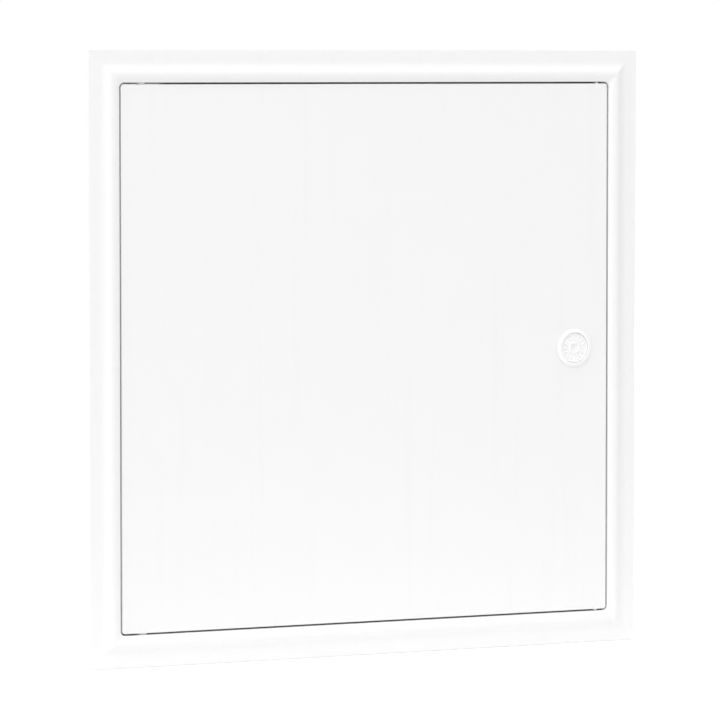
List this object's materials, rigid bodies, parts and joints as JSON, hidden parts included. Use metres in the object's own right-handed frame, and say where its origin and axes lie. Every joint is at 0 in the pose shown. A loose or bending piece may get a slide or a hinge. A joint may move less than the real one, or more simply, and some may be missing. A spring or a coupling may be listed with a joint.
{
  "type": "ceiling access panel",
  "caption": "Hinged white plastic ceiling access panel: moulded architrave frame, insulated tray door on concealed pivots and a quarter-turn square-key lock.",
  "frame": {"origin": "middle of the opening, on the ceiling plane that the back of the flange lies on", "axes": "the panel stands upright as seen from the room: -Y is the room side (down when it is in a ceiling), +Y runs into the void, +X points from the pivots to the lock, +Z is along the pivot axis"},
  "size_m": [0.612, 0.073, 0.612],
  "materials": {
    "white_plastic": "satin",
    "liner_sheet": "satin",
    "insulation": "matte",
    "seal_foam": "matte",
    "acetal": "satin",
    "rubber": "matte",
    "zinc_steel": "satin"
  },
  "bodies": {
    "frame": {"frame_moulding": "white_plastic", "door_seal": "seal_foam", "hinge_pin_top": "zinc_steel", "hinge_pin_bottom": "zinc_steel"},
    "door": {"door_skin": "white_plastic", "insulation_slab": "insulation", "door_liner": "liner_sheet", "liner_screw_1": "zinc_steel", "liner_screw_2": "zinc_steel", "liner_screw_3": "zinc_steel", "liner_screw_4": "zinc_steel", "liner_screw_5": "zinc_steel", "liner_screw_6": "zinc_steel", "liner_screw_7": "zinc_steel", "liner_screw_8": "zinc_steel", "liner_screw_9": "zinc_steel", "liner_screw_10": "zinc_steel", "hinge_bush_top": "acetal", "hinge_bush_bottom": "acetal", "lock_body": "white_plastic", "lock_washer": "rubber", "lock_nut": "white_plastic"},
    "latch": {"lock_dial": "white_plastic", "friction_ring": "rubber", "latch_cam": "zinc_steel", "cam_washer": "zinc_steel", "cam_screw": "zinc_steel"}
  },
  "joints": [
    {"name": "door_hinge", "type": "hinge", "parent": "frame", "child": "door", "pos_m": [-0.2482, 0.003, 0], "axis": [0, 0, -1], "range_deg": [0, 145]},
    {"name": "lock_turn", "type": "hinge", "parent": "door", "child": "latch", "pos_m": [0.2337, 0.013, 0], "axis": [0, 1, 0], "range_deg": [0, 90]}
  ]
}
